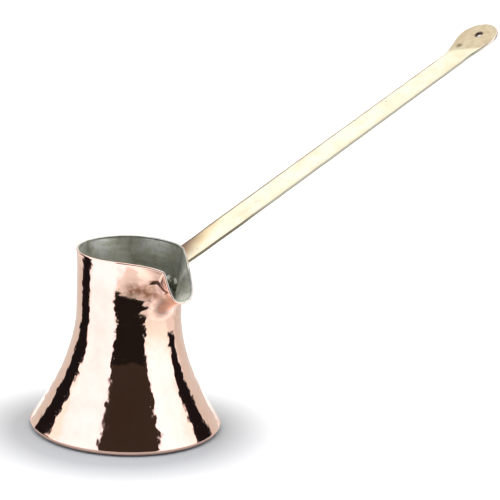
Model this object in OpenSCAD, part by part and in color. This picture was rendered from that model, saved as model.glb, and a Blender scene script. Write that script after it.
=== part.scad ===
// Turkish coffee pot (cezve): a bell-shaped hammered copper body with a pulled beak, a tin lining,
// and a long flat brass handle held to the neck by two rivets.
// Units are millimetres, +Z is up. The origin is the centre of the underside of the base.
// The handle runs out along +X, and the beak points close to -Y, nearly a quarter turn away.

/* [Body] */

// Height of the rim above the table
body_height = 85.4; // [60:0.1:120]
// Widest radius of the base, just above the table
base_radius = 45; // [30:0.5:65]
// Radius of the rounded edge between the underside and the wall
base_edge_radius = 2.5; // [2:0.1:8]
// Height above the table where the bell-shaped flare ends and the straight neck begins
neck_height = 55; // [35:0.5:80]
// Outer radius of the straight neck
neck_radius = 24.6; // [18:0.1:40]
// Outer radius of the rim
rim_radius = 25.3; // [18:0.1:42]
// Exponent of the flare, larger values pull the bell in faster
flare_power = 1.77; // [1.2:0.01:3]
// Thickness of the raised copper sheet
wall = 1; // [0.8:0.1:3]
// Thickness of the tin lining, drawn thicker than a wiped coat so that it stays a solid
tin = 0.25; // [0.2:0.05:0.6]

/* [Beak] */

// Angle from the handle to the beak, seen from above and measured clockwise
beak_angle = 86; // [70:1:110]
// How far the bottom of the beak mouth hangs below the rim
beak_drop = 17.1; // [8:0.1:26]
// Distance from the pot axis to the bottom of the beak mouth
beak_reach = 38.4; // [28:0.1:45]
// Distance from the pot axis to the two upper corners of the mouth, along the beak
corner_reach = 32.5; // [27:0.1:40]
// Half the width of the mouth
mouth_half_width = 8; // [4:0.1:10]
// How far the upper corners of the mouth lie below the rim
corner_drop = 2.8; // [0:0.1:8]
// How square the mouth is: 2 is an ellipse, larger is a squarer U
mouth_squareness = 2.9; // [2:0.1:4]
// How late the wall turns outwards below the beak, larger turns closer to the lip
beak_turn = 2.6; // [1:0.05:3]
// Depth of the shallow hollow pressed into the neck on each side below the beak
pinch_depth = 0.6; // [0:0.1:2]
// Height of the middle of each hollow
pinch_height = 69; // [60:0.5:80]
// Angle from the beak to the middle of each hollow
pinch_turn = 42; // [25:1:70]

/* [Handle] */

// Width of the narrow waist where the handle leaves the neck
waist_width = 14.8; // [8:0.2:20]
// Width of the handle at its widest, where the long taper begins
handle_width_foot = 15.4; // [10:0.2:24]
// Width of the handle where the rounded end begins
handle_width_end = 14.8; // [10:0.2:26]
// Thickness of the brass strip
handle_thickness = 1.8; // [1.5:0.1:4]
// Slope of the handle just outside the bend, degrees above level
foot_slope = 22; // [0:0.5:45]
// Slope of the long straight part, degrees above level
bar_slope = 25.4; // [5:0.1:50]
// Slope of the rounded end, degrees above level
end_slope = 31.5; // [5:0.1:55]
// Length of the straight part, measured along the strip
bar_length = 177; // [100:1:240]
// Radius of the rounded end
end_radius = 11.5; // [8:0.1:18]
// Length over which the strip widens into the rounded end
end_flare = 15; // [6:0.5:30]
// Radius of the hanging hole
hang_hole_radius = 1.5; // [1.5:0.1:5]
// Height of the bend, where the strip leaves the neck
bend_height = 72.9; // [60:0.1:82]
// Radius of the round foot that the rivets pass through
foot_radius = 8.8; // [6:0.1:12]

/* [Rivets] */

// Radius of the rivet shanks
rivet_radius = 1.6; // [1:0.1:3]
// Radius of the rivet heads
rivet_head_radius = 3.2; // [2:0.1:5]
// Height of the domed rivet heads
rivet_head_height = 1.5; // [0.8:0.1:3]
// Distance between the two rivets around the neck
rivet_spacing = 6.6; // [6.5:0.1:12]
// Angle from the handle to the middle of the pair, negative towards the beak
rivet_middle = -4.5; // [-12:0.5:12]
// How far the rivets sit below the rim
rivet_drop = 19.2; // [12:0.1:30]

/* [Hidden] */

copper = [0.80, 0.47, 0.36];
tin_grey = [0.66, 0.67, 0.66];
brass = [0.86, 0.78, 0.55];

// columns across the beak (even) and round the rest of the rim
beak_columns = 36;
plain_columns = 48;
// rows round the base edge, up the flare and up the neck
edge_rows = 4;
flare_rows = 11;
neck_rows = 9;
rows = edge_rows + flare_rows + neck_rows;
// facets of the rivets, the hanging hole, the discs of the handle, and the handle's seat on the neck
rivet_fn = 48;
hole_fn = 64;
disc_fn = 96;
neck_fn = 120;

// share of the beak, from its tip to where it runs into the rim, that is open mouth
mouth_share = 0.46;
// how fast the lip climbs back to the rim past the corners of the mouth
lip_recovery = 1.6;
// direction from the pot axis to the point where the beak side runs into the round rim
side_angle = atan2(mouth_half_width, corner_reach)
    + acos(rim_radius / norm([mouth_half_width, corner_reach]));

// ---- outline of the body ----

// the neck is a plain cylinder up to here, so that the handle foot lies flat on it
rim_flare_from = 73;
// outer radius of the round wall at height z
flare_foot = (base_radius - neck_radius) / pow(1 - base_edge_radius / neck_height, flare_power);
function wall_radius(z) =
    z < neck_height
        ? neck_radius + flare_foot * pow(1 - z / neck_height, flare_power)
        : neck_radius + (rim_radius - neck_radius)
            * pow(max(0, (z - rim_flare_from) / (body_height - rim_flare_from)), 2);

// depth of the hollows beside the beak, for column angle c from the beak and height z
pinch_half_angle = 20;
pinch_half_height = 6;
function from_beak(c) = abs(c > 180 ? c - 360 : c);
function pinch(c, z) = pinch_depth
    * exp(-pow((from_beak(c) - pinch_turn) / pinch_half_angle, 2)
          - pow((z - pinch_height) / pinch_half_height, 2));

// ---- lip of the beak, for u = 0 at the tip and 1 where it runs into the rim ----

function mouth_turn(u) = 90 * min(1, abs(u) / mouth_share);
function side_share(u) = max(0, (abs(u) - mouth_share) / (1 - mouth_share));
function soft(x) = pow(max(0, x), 2 / mouth_squareness);
// distance sideways from the middle of the beak
function lip_side(u) = sign(u) * (abs(u) < mouth_share
    ? mouth_half_width * soft(sin(mouth_turn(u)))
    : mouth_half_width + (rim_radius * sin(side_angle) - mouth_half_width) * side_share(u));
// distance outwards along the beak
function lip_out(u) = abs(u) < mouth_share
    ? corner_reach + (beak_reach - corner_reach) * soft(cos(mouth_turn(u)))
    : corner_reach + (rim_radius * cos(side_angle) - corner_reach) * side_share(u);
function lip_drop(u) = abs(u) < mouth_share
    ? corner_drop + (beak_drop - corner_drop) * soft(cos(mouth_turn(u)))
    : corner_drop * exp(-lip_recovery * side_share(u)) * (1 - side_share(u));

function lip_radius(u) = norm([lip_out(u), lip_side(u)]);
function lip_angle(u) = atan2(lip_side(u), lip_out(u));

// ---- outer surface, for column angle c from the beak and row position v = 0 .. rows ----

function in_beak(c) = abs(c) < side_angle;
function top_height(c) = body_height - (in_beak(c) ? lip_drop(c / side_angle) : 0);
function climb(v) = (v - edge_rows - flare_rows) / neck_rows;
function row_height(c, v) =
    v < edge_rows ? base_edge_radius * (1 - cos(90 * v / edge_rows))
    : v < edge_rows + flare_rows
        ? base_edge_radius + (neck_height - base_edge_radius) * (v - edge_rows) / flare_rows
    : neck_height + (top_height(c) - neck_height) * climb(v);
function row_radius(c, v) =
    v < edge_rows ? base_radius - base_edge_radius * (1 - sin(90 * v / edge_rows))
    : wall_radius(row_height(c, v)) + (v > edge_rows + flare_rows && in_beak(c)
        ? (lip_radius(c / side_angle) - wall_radius(top_height(c))) * pow(climb(v), beak_turn)
        : 0)
      - pinch(c, row_height(c, v));
function row_angle(c, v) =
    v > edge_rows + flare_rows && in_beak(c)
        ? c + (lip_angle(c / side_angle) - c) * pow(sin(90 * climb(v)), 2)
        : c;
// column angle 0 is the middle of the beak
function skin(c, v) =
    let (r = row_radius(c, v), a = row_angle(c, v) - beak_angle)
    [r * cos(a), r * sin(a), row_height(c, v)];

// unit vector out of the skin, from the slopes along the column and across it
function skin_normal(c, v) =
    let (dv = 0.02, v0 = max(0, v - dv), v1 = min(rows, v + dv),
         n = cross(skin(c + 0.2, v) - skin(c - 0.2, v), skin(c, v1) - skin(c, v0)))
    n / norm(n);
function inset(c, v, depth) =
    v == 0 ? skin(c, 0) + [0, 0, depth]
    : skin(c, v) - depth * skin_normal(c, v);

columns = concat(
    [for (i = [0 : beak_columns - 1]) side_angle * (2 * i / beak_columns - 1)],
    [for (i = [0 : plain_columns - 1])
        side_angle + (360 - 2 * side_angle) * i / plain_columns]);
column_count = len(columns);

// a closed sheet between two depths below the outer skin, floor and wall in one piece
module sheet(from_depth, to_depth) {
    n = column_count;
    layer = n * (rows + 1);
    outer_hub = 2 * layer;
    inner_hub = 2 * layer + 1;
    points = concat(
        [for (v = [0 : rows], c = columns) inset(c, v, from_depth)],
        [for (v = [0 : rows], c = columns) inset(c, v, to_depth)],
        [[0, 0, from_depth], [0, 0, to_depth]]);
    function at(side, v, i) = side * layer + v * n + i % n;
    faces = concat(
        [for (v = [0 : rows - 1], i = [0 : n - 1]) each [
            [at(0, v, i), at(0, v + 1, i), at(0, v + 1, i + 1)],
            [at(0, v, i), at(0, v + 1, i + 1), at(0, v, i + 1)],
            [at(1, v, i), at(1, v + 1, i + 1), at(1, v + 1, i)],
            [at(1, v, i), at(1, v, i + 1), at(1, v + 1, i + 1)]]],
        [for (i = [0 : n - 1]) each [
            [at(0, rows, i), at(1, rows, i), at(1, rows, i + 1)],
            [at(0, rows, i), at(1, rows, i + 1), at(0, rows, i + 1)],
            [outer_hub, at(0, 0, i), at(0, 0, i + 1)],
            [inner_hub, at(1, 0, i + 1), at(1, 0, i)]]]);
    polyhedron(points = points, faces = faces, convexity = 6);
}

// ---- rivets ----

rivet_height = body_height - rivet_drop;
rivet_turn = rivet_spacing / neck_radius * 180 / PI / 2;
// flat seats of the heads: the inner one bears on its edges inside the round lining,
// the outer one bears on the crest of the round handle foot
lining_flats = 0.04;
lining_radius = neck_radius - wall - tin - lining_flats;
inner_seat = sqrt(pow(lining_radius, 2) - pow(rivet_head_radius, 2));
outer_seat = neck_radius + handle_thickness;
bore_length = 12;
dome_steps = 8;
dome_ball = (pow(rivet_head_radius, 2) + pow(rivet_head_height, 2)) / (2 * rivet_head_height);
dome_sweep = asin(rivet_head_radius / dome_ball);

// places its children at each rivet, pointing outwards from the pot axis
module at_rivets() {
    for (turn = [-rivet_turn, rivet_turn])
        rotate([0, 0, rivet_middle + turn])
            translate([0, 0, rivet_height]) rotate([0, 90, 0]) children();
}

module rivet_bores() {
    at_rivets() translate([0, 0, neck_radius - bore_length / 2])
        cylinder(r = rivet_radius, h = bore_length, $fn = rivet_fn);
}

// outline of a domed head that rises from a flat seat, from its crown to its edge
function dome(seat, up) = [for (i = [0 : dome_steps])
    let (a = dome_sweep * i / dome_steps)
    [dome_ball * sin(a), seat + up * (rivet_head_height - dome_ball * (1 - cos(a)))]];

// one rivet along +Z from the pot axis, turned from a single outline
module rivet() {
    crown_in = dome(inner_seat, -1);
    crown_out = dome(outer_seat, 1);
    rotate_extrude($fn = rivet_fn) polygon(concat(
        crown_in,
        [[rivet_radius, inner_seat], [rivet_radius, outer_seat]],
        [for (i = [dome_steps : -1 : 0]) crown_out[i]]));
}

module copper_body() {
    color(copper) difference() {
        sheet(0, wall);
        rivet_bores();
    }
}

module tin_lining() {
    color(tin_grey) difference() {
        sheet(wall, wall + tin);
        rivet_bores();
    }
}

module rivets() {
    color(copper) at_rivets() rivet();
}

// ---- handle ----

// the strip is drawn edge-on in the XZ plane as a chain of straight parts and round bends
bend_radius = 3.5;        // inner radius of the sharp bend at the neck
settle_radius = 200;      // radius of the slow rise from the foot slope to the bar slope
lift_radius = 60;         // radius of the rise into the rounded end
end_length = 44;          // strip drawn past the lift, trimmed by the rounded end
waist_reach = 48;         // distance from the pot axis to the waist
foot_reach = 56;          // distance from the pot axis to the start of the long taper
hole_offset = 2.3;        // distance from the centre of the rounded end out to the hanging hole
foot_block_depth = 10;    // drawn depth of the foot, trimmed to a ring round the neck
foot_lap = 0.4;           // how far the ring of the foot runs on up behind the bend
bar_lap = 2;              // how far the tapered bar runs on into the rounded end
flank_lap = 0.3;          // share of its own length that each flank of the end runs on into the bar

// directions along a slope and square to it, in the XZ drawing
function along(slope) = [cos(slope), sin(slope)];
function square_to(slope) = [-sin(slope), cos(slope)];

// corners of the chain: end of each part, on the upper face of the strip
bend_outer = bend_radius + handle_thickness;
bend_centre = [neck_radius + bend_outer, bend_height];
bend_end = bend_centre + bend_outer * square_to(foot_slope);
settle_end = bend_end + settle_radius * (square_to(foot_slope) - square_to(bar_slope));
bar_end = settle_end + bar_length * along(bar_slope);
lift_end = bar_end + lift_radius * (square_to(bar_slope) - square_to(end_slope));
end_centre = lift_end + (end_flare - 1) * along(end_slope);
hang_point = end_centre + hole_offset * along(end_slope);

// stations down the strip, each a point on the upper face with the slope there
bend_steps = 12;
rise_steps = 4;
function bend_slope(i) = 90 - (90 - foot_slope) * i / bend_steps;
function settle_slope(i) = foot_slope + (bar_slope - foot_slope) * i / rise_steps;
function lift_slope(i) = bar_slope + (end_slope - bar_slope) * i / rise_steps;
stations = concat(
    [for (i = [0 : bend_steps])
        [bend_centre + bend_outer * square_to(bend_slope(i)), bend_slope(i)]],
    [for (i = [1 : rise_steps])
        [bend_end + settle_radius * (square_to(foot_slope) - square_to(settle_slope(i))),
         settle_slope(i)]],
    [for (i = [0 : rise_steps])
        [bar_end + lift_radius * (square_to(bar_slope) - square_to(lift_slope(i))),
         lift_slope(i)]],
    [[lift_end + end_length * along(end_slope), end_slope]]);

module strip_edge_on() {
    last = len(stations) - 1;
    polygon(concat(
        [for (s = stations) s[0]],
        [for (i = [last : -1 : 0])
            stations[i][0] - handle_thickness * square_to(stations[i][1])]));
}

// outline of the handle from above, trimming the strip to its waist and its taper
module taper_from_above() {
    // half widths at distances from the pot axis
    outline = [[neck_radius - 1, waist_width / 2], [waist_reach, waist_width / 2],
               [foot_reach, handle_width_foot / 2],
               [lift_end[0] + bar_lap, handle_width_end / 2]];
    polygon(concat(
        outline,
        [for (i = [len(outline) - 1 : -1 : 0]) [outline[i][0], -outline[i][1]]]));
}

// the rounded end, square to its own slope: a disc with two straight flanks back to the bar
module rounded_end() {
    lean = asin((end_radius - handle_width_end / 2) / end_flare);
    tangent = end_radius * [-sin(lean), cos(lean)];
    shoulder = [-end_flare, handle_width_end / 2];
    root = shoulder - flank_lap * (tangent - shoulder);
    deep = 2 * end_radius;
    translate([end_centre[0], 0, end_centre[1]]) rotate([0, -end_slope, 0]) {
        translate([0, 0, -deep / 2]) cylinder(r = end_radius, h = deep, $fn = disc_fn);
        linear_extrude(deep, center = true) polygon([
            [root[0], -root[1]], root, tangent, [tangent[0], -tangent[1]]]);
    }
}

// the round foot below the bend, curved to the neck
module foot() {
    foot_bottom = rivet_height - foot_radius;
    foot_height = bend_height - foot_bottom;
    intersection() {
        translate([0, 0, foot_bottom]) difference() {
            cylinder(r = neck_radius + handle_thickness, h = foot_height + foot_lap, $fn = neck_fn);
            translate([0, 0, -1]) cylinder(r = neck_radius, h = foot_height + 2, $fn = neck_fn);
        }
        translate([neck_radius - foot_block_depth / 2, 0, rivet_height]) union() {
            translate([0, -waist_width / 2, 0])
                cube([foot_block_depth, waist_width, foot_height]);
            rotate([0, 90, 0]) cylinder(r = foot_radius, h = foot_block_depth, $fn = disc_fn);
        }
    }
}

module handle() {
    color(brass) difference() {
        union() {
            foot();
            intersection() {
                rotate([90, 0, 0]) linear_extrude(4 * end_radius, center = true) strip_edge_on();
                union() {
                    linear_extrude(4 * body_height) taper_from_above();
                    rounded_end();
                }
            }
        }
        rivet_bores();
        translate([hang_point[0], 0, hang_point[1]]) rotate([0, -end_slope, 0])
            cylinder(r = hang_hole_radius, h = 6 * handle_thickness, center = true, $fn = hole_fn);
    }
}

copper_body();
tin_lining();
handle();
rivets();
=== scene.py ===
"""Turkish coffee pot: a hammered copper body with a beak, a wiped tin lining, a brass handle, two rivets.

Shapes are worked out in millimetres in the frame of the CAD model, and turned into metres when a
mesh is made. The handle runs out along +X and the beak points close to -Y.
"""
import math

import bpy
import numpy as np
from mathutils import Matrix, Vector


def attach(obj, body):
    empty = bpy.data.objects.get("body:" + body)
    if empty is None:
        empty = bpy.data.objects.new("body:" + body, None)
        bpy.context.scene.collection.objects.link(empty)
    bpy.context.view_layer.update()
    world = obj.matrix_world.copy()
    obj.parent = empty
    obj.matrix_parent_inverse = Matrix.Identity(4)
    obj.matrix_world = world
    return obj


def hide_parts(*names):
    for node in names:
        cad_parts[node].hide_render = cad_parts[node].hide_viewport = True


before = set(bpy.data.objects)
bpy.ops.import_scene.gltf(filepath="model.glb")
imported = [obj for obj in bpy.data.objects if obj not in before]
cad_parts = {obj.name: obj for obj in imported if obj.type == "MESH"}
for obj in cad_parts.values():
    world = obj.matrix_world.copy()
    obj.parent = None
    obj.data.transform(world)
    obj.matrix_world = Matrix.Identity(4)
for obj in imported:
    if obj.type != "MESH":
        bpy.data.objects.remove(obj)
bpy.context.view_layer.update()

METRES = 0.001

# ---- sizes of the body, as in the CAD model ----
BODY_HEIGHT = 85.4
BASE_RADIUS = 45.0
BASE_EDGE_RADIUS = 2.5
NECK_HEIGHT = 55.0
NECK_RADIUS = 24.6
RIM_RADIUS = 25.3
RIM_FLARE_FROM = 73.0
FLARE_POWER = 1.77
WALL = 1.0
TIN = 0.25

BEAK_ANGLE = 86.0
BEAK_DROP = 17.1
BEAK_REACH = 38.4
BEAK_TURN = 2.6
CORNER_REACH = 32.5
CORNER_DROP = 2.8
MOUTH_HALF_WIDTH = 8.0
MOUTH_SQUARENESS = 2.9
MOUTH_SHARE = 0.46
LIP_RECOVERY = 1.6
PINCH_DEPTH = 0.6
PINCH_HEIGHT = 69.0
PINCH_TURN = 42.0
PINCH_HALF_ANGLE = 20.0
PINCH_HALF_HEIGHT = 6.0

# ---- sizes of the handle and rivets, as in the CAD model ----
BEND_HEIGHT = 72.9
BEND_RADIUS = 3.5
FOOT_SLOPE = 22.0
SETTLE_RADIUS = 200.0
BAR_SLOPE = 25.4
BAR_LENGTH = 177.0
LIFT_RADIUS = 60.0
END_SLOPE = 31.5
END_RADIUS = 11.5
END_FLARE = 15.0
STRIP_THICKNESS = 1.8
WAIST_WIDTH = 14.8
FOOT_WIDTH = 15.4
END_WIDTH = 14.8
FOOT_RADIUS = 8.8
HOLE_RADIUS = 1.5
WAIST_END = 26.0
TAPER_START = 34.0
HOLE_OFFSET = 2.3
RIVET_HEIGHT = BODY_HEIGHT - 19.2
RIVET_SPACING = 6.6
RIVET_TURN = -4.5
RIVET_HEAD_RADIUS = 3.2
RIVET_HEAD_HEIGHT = 1.5

# ---- the photograph's view, found from the outline of the pot ----
VIEW_AZIMUTH = -40.0
VIEW_ELEVATION = 15.05
VIEW_ROLL = 2.67
VIEW_DISTANCE = 1000.0
VIEW_TARGET = (42.1, -35.3, 87.5)
VIEW_ANGLE = 13.15
SENSOR_WIDTH = 36.0


def smooth(x):
    """0 below 0, 1 above 1, and a smooth step between."""
    x = np.clip(x, 0.0, 1.0)
    return x * x * (3 - 2 * x)


def ramp(values, start, end):
    """0 before start, 1 past end, and a smooth step between. Start may be above end."""
    return smooth((values - start) / (end - start))


def metres(millimetres):
    """The same lengths in metres."""
    return [length * METRES for length in millimetres]


def unit(vectors):
    """The same vectors with length 1."""
    return vectors / np.linalg.norm(vectors, axis=-1, keepdims=True)


# ======== body ========

def wall_radius(z):
    """Outer radius of the round wall at height z, without the beak."""
    foot = (BASE_RADIUS - NECK_RADIUS) / (1 - BASE_EDGE_RADIUS / NECK_HEIGHT) ** FLARE_POWER
    bell = NECK_RADIUS + foot * np.clip(1 - z / NECK_HEIGHT, 0, None) ** FLARE_POWER
    rim_share = np.clip((z - RIM_FLARE_FROM) / (BODY_HEIGHT - RIM_FLARE_FROM), 0, None)
    return np.where(z < NECK_HEIGHT, bell, NECK_RADIUS + (RIM_RADIUS - NECK_RADIUS) * rim_share ** 2)


LIP_STEP = 0.25
LIP_SOFTENING = 3


def lip_curve():
    """The edge of the rim and beak: columns in degrees, and how far aside, out and down the lip is."""
    column = np.arange(-180, 180, LIP_STEP)
    corner = math.hypot(MOUTH_HALF_WIDTH, CORNER_REACH)
    side_angle = math.degrees(
        math.atan2(MOUTH_HALF_WIDTH, CORNER_REACH) + math.acos(RIM_RADIUS / corner))
    u = column / side_angle
    turn = np.radians(90 * np.clip(np.abs(u) / MOUTH_SHARE, 0, 1))
    side_share = np.clip((np.abs(u) - MOUTH_SHARE) / (1 - MOUTH_SHARE), 0, 1)
    rim_side = RIM_RADIUS * math.sin(math.radians(side_angle))
    rim_out = RIM_RADIUS * math.cos(math.radians(side_angle))
    sine = np.clip(np.sin(turn), 0, 1) ** (2 / MOUTH_SQUARENESS)
    cosine = np.clip(np.cos(turn), 0, 1) ** (2 / MOUTH_SQUARENESS)
    in_mouth = np.abs(u) < MOUTH_SHARE
    in_beak = np.abs(u) < 1

    side = np.where(in_mouth, MOUTH_HALF_WIDTH * sine,
                    MOUTH_HALF_WIDTH + (rim_side - MOUTH_HALF_WIDTH) * side_share) * np.sign(u)
    out = np.where(in_mouth, CORNER_REACH + (BEAK_REACH - CORNER_REACH) * cosine,
                   CORNER_REACH + (rim_out - CORNER_REACH) * side_share)
    drop = np.where(in_mouth, CORNER_DROP + (BEAK_DROP - CORNER_DROP) * cosine,
                    CORNER_DROP * np.exp(-LIP_RECOVERY * side_share) * (1 - side_share))
    angle = np.radians(column)
    side = np.where(in_beak, side, RIM_RADIUS * np.sin(angle))
    out = np.where(in_beak, out, RIM_RADIUS * np.cos(angle))
    return column, *(round_corners(values, LIP_SOFTENING) for values in (side, out, drop))


def round_corners(values, reach):
    """Softens a closed row of values, each over about reach neighbours each way."""
    steps = np.arange(-3 * reach, 3 * reach + 1)
    weights = np.exp(-0.5 * (steps / reach) ** 2)
    weights /= weights.sum()
    return sum(weight * np.roll(values, step) for weight, step in zip(weights, steps))


LIP_COLUMN, LIP_SIDE, LIP_OUT, LIP_DROP = lip_curve()


def lip(column):
    """Radius, turn in degrees and drop of the lip at each column."""
    side, out, drop = (np.interp(column, LIP_COLUMN, values, period=360)
                       for values in (LIP_SIDE, LIP_OUT, LIP_DROP))
    return np.hypot(side, out), np.degrees(np.arctan2(side, out)), drop


def turn_from_beak(column):
    """How many degrees a column is from the beak, to either side."""
    return np.abs((column + 180) % 360 - 180)


def pinch(column, z):
    """Depth of the hollow pressed into the neck on each side below the beak."""
    aside = (turn_from_beak(column) - PINCH_TURN) / PINCH_HALF_ANGLE
    above = (z - PINCH_HEIGHT) / PINCH_HALF_HEIGHT
    return PINCH_DEPTH * np.exp(-aside ** 2 - above ** 2)


def skin(column, row):
    """A point on the outer skin. Column is in degrees from the beak.

    Row runs 0 to 1 round the base edge, 1 to 2 up the flare, and 2 to 3 up the neck and beak.
    """
    column, row = np.broadcast_arrays(column, row)
    reach, turn, drop = lip(column)
    climb = np.clip(row - 2, 0, 1)
    edge = np.radians(90 * np.clip(row, 0, 1))
    top = BODY_HEIGHT - drop
    z = np.where(row < 1, BASE_EDGE_RADIUS * (1 - np.cos(edge)),
                 BASE_EDGE_RADIUS + (NECK_HEIGHT - BASE_EDGE_RADIUS) * np.clip(row - 1, 0, 1))
    z = np.where(row > 2, NECK_HEIGHT + (top - NECK_HEIGHT) * climb, z)
    r = np.where(row < 1, BASE_RADIUS - BASE_EDGE_RADIUS * (1 - np.sin(edge)), wall_radius(z))
    r = r + (reach - wall_radius(top)) * climb ** BEAK_TURN
    r = r - pinch(column, z)
    lean = (turn - column + 180) % 360 - 180
    angle = np.radians(column + lean * np.sin(math.pi / 2 * climb) ** 2 - BEAK_ANGLE)
    return np.stack([r * np.cos(angle), r * np.sin(angle), z], axis=-1)


COLUMN_NUDGE = 0.2
ROW_NUDGE = 0.004


def skin_frame(column, row):
    """The unit directions out of the skin and up along a column."""
    across = skin(column + COLUMN_NUDGE, row) - skin(column - COLUMN_NUDGE, row)
    up = skin(column, np.minimum(row + ROW_NUDGE, 3)) - skin(column, np.maximum(row - ROW_NUDGE, 0))
    return unit(np.cross(across, up)), unit(up)


LIP_THICKNESS = WALL + TIN
RIM_ROUND = LIP_THICKNESS / 2
TOP_STEP = 0.01


def wall_rows(column, edge_rows, flare_rows, neck_rows):
    """Row positions up the wall at each column, ending where the rounding of the rim begins."""
    top = skin(column, np.full_like(column, 3.0))
    below_top = skin(column, np.full_like(column, 3 - TOP_STEP))
    neck_end = 3 - TOP_STEP * RIM_ROUND / np.linalg.norm(top - below_top, axis=-1)
    low = np.concatenate([np.linspace(0, 1, edge_rows, endpoint=False),
                          np.linspace(1, 2, flare_rows, endpoint=False)])
    low = np.repeat(low[:, None], len(column), axis=1)
    neck = 2 + (neck_end - 2) * np.linspace(0, 1, neck_rows)[:, None]
    return np.concatenate([low, neck])


def wall_points(column, rows, depth):
    """Points below the skin. Depth is one number, or a depth for each point."""
    out, _ = skin_frame(column, rows)
    return skin(column, rows) - np.asarray(depth)[..., None] * out


def rim_points(column, depths):
    """Points over the rounded rim at several depths from the outer skin."""
    rows = np.full_like(column, 3.0)
    out, up = skin_frame(column, rows)
    top = skin(column, rows)
    rings = []
    for depth in depths:
        sink = RIM_ROUND - math.sqrt(max(0.0, RIM_ROUND ** 2 - (depth - RIM_ROUND) ** 2))
        rings.append(top - depth * out - sink * up)
    return np.array(rings)


FLOOR_RADIUS = BASE_RADIUS - BASE_EDGE_RADIUS


def floor_points(column, height, count, dish=0.0):
    """Rings of a flat floor from its edge inwards, with the middle raised by dish."""
    angle = np.radians(column - BEAK_ANGLE)
    rings = []
    for share in np.linspace(1, 0, count + 1)[1:-1]:
        radius = FLOOR_RADIUS * share
        lift = dish * (1 - share ** 2)
        rings.append(np.stack([radius * np.cos(angle), radius * np.sin(angle),
                               np.full_like(angle, height + lift)], axis=-1))
    return np.array(rings)


# ---- hammering, creases, and the painted reflection and shade by the beak ----

BIG_MARK = 3.5
BIG_MARK_CURVE = 0.013
BIG_MARK_SEED = 11
SMALL_MARK = 1.7
SMALL_MARK_CURVE = 0.014
SMALL_MARK_SEED = 13
MARK_SHARPNESS = 5.5
MARK_REACH = 0.75
SIDE_JITTER = 0.33
UP_JITTER = 0.3
LIGHT_BLOW = 0.6
FIRM_BLOW = 1.2
HARD_BLOW_EXTRA = 0.8
HARD_BLOW_FROM = 0.88
NEIGHBOURS = (-1, 0, 1, 2)
PROFILE_STEPS = 800

SWELL_DEPTH = 0.05
SWELL_SEED = 12
SWELL_COUNT = 10
SWELL_LENGTH = 26.0

CREASE_START = 18.0
CREASE_END = 33.0
CREASE_FALL = 0.265
CREASE_CURVE = 0.4
CREASE_STRETCH = 26.0
CREASE_HALF_WIDTH = 0.55
CREASE_DEPTH = 0.8
CREASE_FADE_IN = 4.0
CREASE_FADE_OUT = 3.0

# Where the painted brown reflection beside and below the beak lies, and how far it reaches.
BEAK_PAINT_HEIGHT = 69.5
BEAK_PAINT_CLIMB = 2.5
BEAK_PAINT_REACH_UP = 5.0
BEAK_PAINT_REACH_DOWN = 3.5
BEAK_PAINT_BESIDE = 0.9
BEAK_PAINT_BELOW = 0.16
# How strongly the crease is painted with dark shade.
CREASE_SHADE_SHARE = 1.5

# Each pair is where a part of the painted brown reflection by the beak starts and where it is full: turns
# from the beak, and heights.
GROWS_ASIDE = (2.0, 34.0)
FADES_ASIDE = (54.0, 42.0)
CLIMBS_ASIDE = (15.0, 35.0)
BELOW_BEAK = (38.0, 23.0)
ABOVE_FLARE = (50.0, 62.0)


def profile_length(z):
    """Length along the round profile from the base up to height z."""
    heights = np.linspace(0, BODY_HEIGHT, PROFILE_STEPS)
    steps = np.hypot(np.diff(heights), np.diff(wall_radius(heights)))
    return np.interp(z, heights, np.concatenate([[0], np.cumsum(steps)]))


def hammer_dents(column, z, size, curve, seed):
    """Depth of the hammer marks below the skin: shallow round dents in rows, meeting in soft ridges."""
    rng = np.random.default_rng(seed)
    sharpness = MARK_SHARPNESS / size ** 2
    length = profile_length(z)
    rows = int(profile_length(BODY_HEIGHT) / size) + 4
    heights = np.linspace(0, BODY_HEIGHT, PROFILE_STEPS // 2)
    row_radius = np.interp((np.arange(rows) - 1) * size, profile_length(heights), wall_radius(heights))
    counts = np.round(2 * math.pi * row_radius / size).astype(int)
    widest = counts.max()
    side_jitter = rng.uniform(-SIDE_JITTER, SIDE_JITTER, (rows, widest))
    up_jitter = rng.uniform(-UP_JITTER, UP_JITTER, (rows, widest))
    strength = rng.uniform(LIGHT_BLOW, FIRM_BLOW, (rows, widest))
    strength = strength + HARD_BLOW_EXTRA * (rng.random((rows, widest)) > HARD_BLOW_FROM)
    radius = wall_radius(z)
    total = np.zeros_like(z)
    base_row = np.floor(length / size).astype(int)
    for row_step in NEIGHBOURS:
        row = np.clip(base_row + row_step + 1, 0, rows - 1)
        count = counts[row]
        place = (column + 180) / 360 * count + 0.5 * (row % 2)
        for side_step in NEIGHBOURS:
            mark = np.floor(place).astype(int) + side_step
            index = mark % count
            side = (place - mark - side_jitter[row, index]) * (2 * math.pi * radius / count)
            up = length - (row - 1 + up_jitter[row, index]) * size
            total += np.exp(-sharpness * strength[row, index] * (side ** 2 + up ** 2))
    nearest = -np.log(np.maximum(total, 1e-9)) / sharpness
    ridge = (MARK_REACH * size) ** 2
    return np.clip(curve * (ridge - nearest), 0, None)


def swells(column, z):
    """Slow swells left by raising the sheet by hand."""
    rng = np.random.default_rng(SWELL_SEED)
    total = np.zeros_like(z)
    for _ in range(SWELL_COUNT):
        turns = rng.integers(3, 9)
        wave = rng.uniform(-1, 1) * 2 * math.pi / SWELL_LENGTH
        total += np.sin(np.radians(column) * turns + wave * z + rng.uniform(0, 2 * math.pi))
    return SWELL_DEPTH * (1 + total / SWELL_COUNT ** 0.5 / 2)


def hammering(column, z):
    """Depth of the whole hammered surface: big marks, small marks over them, and slow swells."""
    big = hammer_dents(column, z, BIG_MARK, BIG_MARK_CURVE, BIG_MARK_SEED)
    small = hammer_dents(column, z, SMALL_MARK, SMALL_MARK_CURVE, SMALL_MARK_SEED)
    return big + small + swells(column, z)


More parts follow.
